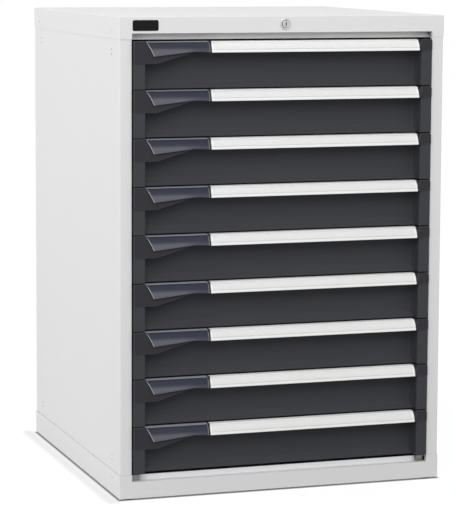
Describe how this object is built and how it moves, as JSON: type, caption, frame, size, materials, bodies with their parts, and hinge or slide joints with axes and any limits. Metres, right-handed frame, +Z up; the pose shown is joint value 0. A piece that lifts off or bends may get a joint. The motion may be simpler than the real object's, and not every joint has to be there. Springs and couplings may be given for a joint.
{
  "type": "drawer cabinet",
  "caption": "Freestanding steel workshop cabinet with a column of equal full-extension drawers, bar handles with label strips, side latch levers and a central lock.",
  "frame": {"origin": "centre of the footprint, on the floor", "axes": "+Z up, drawers open towards -Y, +X to the right seen from the front"},
  "size_m": [0.717, 0.736, 1.003],
  "materials": {
    "housing_grey": "light grey powder coat, fine satin texture",
    "drawer_steel": "anthracite powder coat, satin",
    "label_white": "handle bar with a white label strip under a clear cover",
    "cap_plastic": "moulded dark plastic, fine grain",
    "lever_plastic": "smoky blue translucent plastic, polished",
    "zinc_steel": "zinc plated steel",
    "nickel": "nickel plated",
    "black_plastic": "moulded black plastic"
  },
  "bodies": {
    "housing": {"top_pan": "housing_grey", "base_pan": "housing_grey", "left_side_panel": "housing_grey", "right_side_panel": "housing_grey", "back_panel": "housing_grey", "left_uprights": "zinc_steel", "right_uprights": "zinc_steel", "left_runner_channels": "zinc_steel", "right_runner_channels": "zinc_steel", "lock_rail": "housing_grey", "lock_body": "nickel", "glide_feet": "black_plastic"},
    "lock_cylinder": {"lock_cylinder": "nickel"},
    "lock_bars": {"lock_bar": "zinc_steel", "standing_lock_bar": "zinc_steel"},
    "drawer_1": {"drawer_1_body": "drawer_steel", "drawer_1_handle": "label_white", "drawer_1_end_caps": "cap_plastic"},
    "latch_lever_1": {"drawer_1_latch_lever": "lever_plastic"},
    "middle_slides_1": {"drawer_1_middle_slides": "zinc_steel"},
    "drawer_2": {"drawer_2_body": "drawer_steel", "drawer_2_handle": "label_white", "drawer_2_end_caps": "cap_plastic"},
    "latch_lever_2": {"drawer_2_latch_lever": "lever_plastic"},
    "middle_slides_2": {"drawer_2_middle_slides": "zinc_steel"},
    "drawer_3": {"drawer_3_body": "drawer_steel", "drawer_3_handle": "label_white", "drawer_3_end_caps": "cap_plastic"},
    "latch_lever_3": {"drawer_3_latch_lever": "lever_plastic"},
    "middle_slides_3": {"drawer_3_middle_slides": "zinc_steel"},
    "drawer_4": {"drawer_4_body": "drawer_steel", "drawer_4_handle": "label_white", "drawer_4_end_caps": "cap_plastic"},
    "latch_lever_4": {"drawer_4_latch_lever": "lever_plastic"},
    "middle_slides_4": {"drawer_4_middle_slides": "zinc_steel"},
    "drawer_5": {"drawer_5_body": "drawer_steel", "drawer_5_handle": "label_white", "drawer_5_end_caps": "cap_plastic"},
    "latch_lever_5": {"drawer_5_latch_lever": "lever_plastic"},
    "middle_slides_5": {"drawer_5_middle_slides": "zinc_steel"},
    "drawer_6": {"drawer_6_body": "drawer_steel", "drawer_6_handle": "label_white", "drawer_6_end_caps": "cap_plastic"},
    "latch_lever_6": {"drawer_6_latch_lever": "lever_plastic"},
    "middle_slides_6": {"drawer_6_middle_slides": "zinc_steel"},
    "drawer_7": {"drawer_7_body": "drawer_steel", "drawer_7_handle": "label_white", "drawer_7_end_caps": "cap_plastic"},
    "latch_lever_7": {"drawer_7_latch_lever": "lever_plastic"},
    "middle_slides_7": {"drawer_7_middle_slides": "zinc_steel"},
    "drawer_8": {"drawer_8_body": "drawer_steel", "drawer_8_handle": "label_white", "drawer_8_end_caps": "cap_plastic"},
    "latch_lever_8": {"drawer_8_latch_lever": "lever_plastic"},
    "middle_slides_8": {"drawer_8_middle_slides": "zinc_steel"},
    "drawer_9": {"drawer_9_body": "drawer_steel", "drawer_9_handle": "label_white", "drawer_9_end_caps": "cap_plastic"},
    "latch_lever_9": {"drawer_9_latch_lever": "lever_plastic"},
    "middle_slides_9": {"drawer_9_middle_slides": "zinc_steel"}
  },
  "joints": [
    {"name": "lock_turn", "type": "hinge", "parent": "housing", "child": "lock_cylinder", "pos_m": [0, -0.357, 0.9865], "axis": [0, 1, 0], "range_deg": [0, 90]},
    {"name": "lock_bars_slide", "type": "slide", "parent": "housing", "child": "lock_bars", "axis": [-1, 0, 0], "range_m": [0, 0.01]},
    {"name": "drawer_1_slide", "type": "slide", "parent": "housing", "child": "drawer_1", "axis": [0, -1, 0], "range_m": [0, 0.6]},
    {"name": "drawer_1_middle_slide", "type": "slide", "parent": "housing", "child": "middle_slides_1", "axis": [0, -1, 0], "range_m": [0, 0.3]},
    {"name": "drawer_1_lever", "type": "hinge", "parent": "drawer_1", "child": "latch_lever_1", "pos_m": [0, -0.3484, 0.9478], "axis": [-1, 0, 0], "range_deg": [0, 18], "stiffness_Nm_per_rad": 0.08, "springref_deg": -2.86},
    {"name": "drawer_2_slide", "type": "slide", "parent": "housing", "child": "drawer_2", "axis": [0, -1, 0], "range_m": [0, 0.6]},
    {"name": "drawer_2_middle_slide", "type": "slide", "parent": "housing", "child": "middle_slides_2", "axis": [0, -1, 0], "range_m": [0, 0.3]},
    {"name": "drawer_2_lever", "type": "hinge", "parent": "drawer_2", "child": "latch_lever_2", "pos_m": [0, -0.3484, 0.8478], "axis": [-1, 0, 0], "range_deg": [0, 18], "stiffness_Nm_per_rad": 0.08, "springref_deg": -2.86},
    {"name": "drawer_3_slide", "type": "slide", "parent": "housing", "child": "drawer_3", "axis": [0, -1, 0], "range_m": [0, 0.6]},
    {"name": "drawer_3_middle_slide", "type": "slide", "parent": "housing", "child": "middle_slides_3", "axis": [0, -1, 0], "range_m": [0, 0.3]},
    {"name": "drawer_3_lever", "type": "hinge", "parent": "drawer_3", "child": "latch_lever_3", "pos_m": [0, -0.3484, 0.7478], "axis": [-1, 0, 0], "range_deg": [0, 18], "stiffness_Nm_per_rad": 0.08, "springref_deg": -2.86},
    {"name": "drawer_4_slide", "type": "slide", "parent": "housing", "child": "drawer_4", "axis": [0, -1, 0], "range_m": [0, 0.6]},
    {"name": "drawer_4_middle_slide", "type": "slide", "parent": "housing", "child": "middle_slides_4", "axis": [0, -1, 0], "range_m": [0, 0.3]},
    {"name": "drawer_4_lever", "type": "hinge", "parent": "drawer_4", "child": "latch_lever_4", "pos_m": [0, -0.3484, 0.6478], "axis": [-1, 0, 0], "range_deg": [0, 18], "stiffness_Nm_per_rad": 0.08, "springref_deg": -2.86},
    {"name": "drawer_5_slide", "type": "slide", "parent": "housing", "child": "drawer_5", "axis": [0, -1, 0], "range_m": [0, 0.6]},
    {"name": "drawer_5_middle_slide", "type": "slide", "parent": "housing", "child": "middle_slides_5", "axis": [0, -1, 0], "range_m": [0, 0.3]},
    {"name": "drawer_5_lever", "type": "hinge", "parent": "drawer_5", "child": "latch_lever_5", "pos_m": [0, -0.3484, 0.5478], "axis": [-1, 0, 0], "range_deg": [0, 18], "stiffness_Nm_per_rad": 0.08, "springref_deg": -2.86},
    {"name": "drawer_6_slide", "type": "slide", "parent": "housing", "child": "drawer_6", "axis": [0, -1, 0], "range_m": [0, 0.6]},
    {"name": "drawer_6_middle_slide", "type": "slide", "parent": "housing", "child": "middle_slides_6", "axis": [0, -1, 0], "range_m": [0, 0.3]},
    {"name": "drawer_6_lever", "type": "hinge", "parent": "drawer_6", "child": "latch_lever_6", "pos_m": [0, -0.3484, 0.4478], "axis": [-1, 0, 0], "range_deg": [0, 18], "stiffness_Nm_per_rad": 0.08, "springref_deg": -2.86},
    {"name": "drawer_7_slide", "type": "slide", "parent": "housing", "child": "drawer_7", "axis": [0, -1, 0], "range_m": [0, 0.6]},
    {"name": "drawer_7_middle_slide", "type": "slide", "parent": "housing", "child": "middle_slides_7", "axis": [0, -1, 0], "range_m": [0, 0.3]},
    {"name": "drawer_7_lever", "type": "hinge", "parent": "drawer_7", "child": "latch_lever_7", "pos_m": [0, -0.3484, 0.3478], "axis": [-1, 0, 0], "range_deg": [0, 18], "stiffness_Nm_per_rad": 0.08, "springref_deg": -2.86},
    {"name": "drawer_8_slide", "type": "slide", "parent": "housing", "child": "drawer_8", "axis": [0, -1, 0], "range_m": [0, 0.6]},
    {"name": "drawer_8_middle_slide", "type": "slide", "parent": "housing", "child": "middle_slides_8", "axis": [0, -1, 0], "range_m": [0, 0.3]},
    {"name": "drawer_8_lever", "type": "hinge", "parent": "drawer_8", "child": "latch_lever_8", "pos_m": [0, -0.3484, 0.2478], "axis": [-1, 0, 0], "range_deg": [0, 18], "stiffness_Nm_per_rad": 0.08, "springref_deg": -2.86},
    {"name": "drawer_9_slide", "type": "slide", "parent": "housing", "child": "drawer_9", "axis": [0, -1, 0], "range_m": [0, 0.6]},
    {"name": "drawer_9_middle_slide", "type": "slide", "parent": "housing", "child": "middle_slides_9", "axis": [0, -1, 0], "range_m": [0, 0.3]},
    {"name": "drawer_9_lever", "type": "hinge", "parent": "drawer_9", "child": "latch_lever_9", "pos_m": [0, -0.3484, 0.1478], "axis": [-1, 0, 0], "range_deg": [0, 18], "stiffness_Nm_per_rad": 0.08, "springref_deg": -2.86}
  ],
  "couplings": [
    {"joint": "lock_turn", "follows": "lock_bars_slide", "rad_per_m": 157.08},
    {"joint": "drawer_1_middle_slide", "follows": "drawer_1_slide", "ratio": 0.5},
    {"joint": "drawer_2_middle_slide", "follows": "drawer_2_slide", "ratio": 0.5},
    {"joint": "drawer_3_middle_slide", "follows": "drawer_3_slide", "ratio": 0.5},
    {"joint": "drawer_4_middle_slide", "follows": "drawer_4_slide", "ratio": 0.5},
    {"joint": "drawer_5_middle_slide", "follows": "drawer_5_slide", "ratio": 0.5},
    {"joint": "drawer_6_middle_slide", "follows": "drawer_6_slide", "ratio": 0.5},
    {"joint": "drawer_7_middle_slide", "follows": "drawer_7_slide", "ratio": 0.5},
    {"joint": "drawer_8_middle_slide", "follows": "drawer_8_slide", "ratio": 0.5},
    {"joint": "drawer_9_middle_slide", "follows": "drawer_9_slide", "ratio": 0.5}
  ]
}
